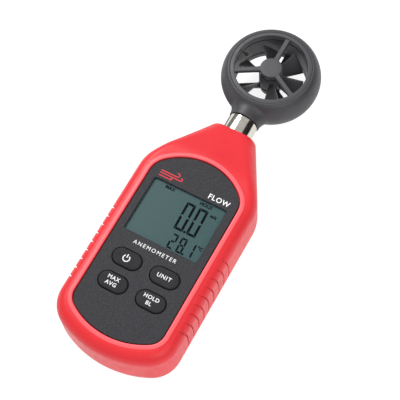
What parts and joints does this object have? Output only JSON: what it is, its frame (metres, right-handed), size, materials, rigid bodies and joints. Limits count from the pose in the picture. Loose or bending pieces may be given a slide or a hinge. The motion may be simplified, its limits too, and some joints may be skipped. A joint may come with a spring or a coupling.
{
  "type": "handheld weather meter",
  "caption": "Pocket vane anemometer: flat-backed red case with a display and rubber keys, plated neck tube and round head with a free-running vane.",
  "frame": {"origin": "middle of the footprint, on the flat back that the meter lies on", "axes": "+X across the case to the right as seen from the front, +Y from the case towards the head, +Z out of the front panel"},
  "size_m": [0.051, 0.16, 0.028],
  "materials": {
    "red_plastic": "satin moulded red plastic",
    "panel_plastic": "finely textured dark grey overlay",
    "key_rubber": "matt dark silicone rubber",
    "head_plastic": "satin dark grey moulding",
    "plated_metal": "bright nickel plating",
    "steel": "plain steel",
    "black_rubber": "matt black",
    "board_green": "green solder mask",
    "chip_black": "matt black epoxy",
    "clear_window": "clear hard-coated plastic",
    "lcd_grey": "grey-green reflective display",
    "backlight_white": "white moulding",
    "cell_wrap": "printed metal sleeve"
  },
  "bodies": {
    "case": {"front_case": "red_plastic", "rear_case": "red_plastic", "front_panel": "panel_plastic", "lcd_window": "clear_window", "lcd_glass": "lcd_grey", "backlight_plate": "backlight_white", "lcd_connector": "black_rubber", "circuit_board": "board_green", "keypad_mat": "key_rubber", "power_switch": "steel", "unit_switch": "steel", "max_avg_switch": "steel", "hold_switch": "steel", "processor_chip": "chip_black", "buzzer": "chip_black", "sensor_socket": "backlight_white", "battery_1": "cell_wrap", "battery_2": "cell_wrap", "battery_3": "cell_wrap", "battery_spring_1": "steel", "battery_spring_2": "steel", "battery_spring_3": "steel", "battery_contact_1": "steel", "battery_contact_2": "steel", "battery_contact_3": "steel", "case_screw_1": "steel", "case_screw_2": "steel", "case_screw_3": "steel", "case_screw_4": "steel", "board_screw_1": "steel", "board_screw_2": "steel", "neck_tube": "plated_metal", "tube_nut": "steel", "sensor_cable": "black_rubber"},
    "head": {"head_ring": "head_plastic", "front_guard": "head_plastic", "rear_guard": "head_plastic", "front_bearing": "steel", "rear_bearing": "steel", "swivel_seal": "black_rubber", "hall_sensor": "chip_black", "temperature_sensor": "chip_black"},
    "vane": {"impeller": "head_plastic", "impeller_shaft": "steel", "rotor_magnet": "chip_black"},
    "power_button": {"power_key": "key_rubber"},
    "unit_button": {"unit_key": "key_rubber"},
    "max_avg_button": {"max_avg_key": "key_rubber"},
    "hold_button": {"hold_key": "key_rubber"},
    "door": {"battery_door": "red_plastic"}
  },
  "joints": [
    {"name": "head_swivel", "type": "hinge", "parent": "case", "child": "head", "pos_m": [0, 0.0349, 0.014], "axis": [0, 1, 0], "range_deg": [-90, 90]},
    {"name": "vane_spin", "type": "hinge", "parent": "head", "child": "vane", "pos_m": [0, 0.05905, 0.014], "axis": [0, 0, 1], "continuous": true},
    {"name": "power_key_press", "type": "slide", "parent": "case", "child": "power_button", "axis": [0, 0, -1], "range_m": [0, 0.0007], "stiffness_N_per_m": 700, "springref_m": -0.0006},
    {"name": "unit_key_press", "type": "slide", "parent": "case", "child": "unit_button", "axis": [0, 0, -1], "range_m": [0, 0.0007], "stiffness_N_per_m": 700, "springref_m": -0.0006},
    {"name": "max_avg_key_press", "type": "slide", "parent": "case", "child": "max_avg_button", "axis": [0, 0, -1], "range_m": [0, 0.0007], "stiffness_N_per_m": 700, "springref_m": -0.0006},
    {"name": "hold_key_press", "type": "slide", "parent": "case", "child": "hold_button", "axis": [0, 0, -1], "range_m": [0, 0.0007], "stiffness_N_per_m": 700, "springref_m": -0.0006},
    {"name": "door_slide", "type": "slide", "parent": "case", "child": "door", "axis": [0, -1, 0], "range_m": [0, 0.058]}
  ]
}
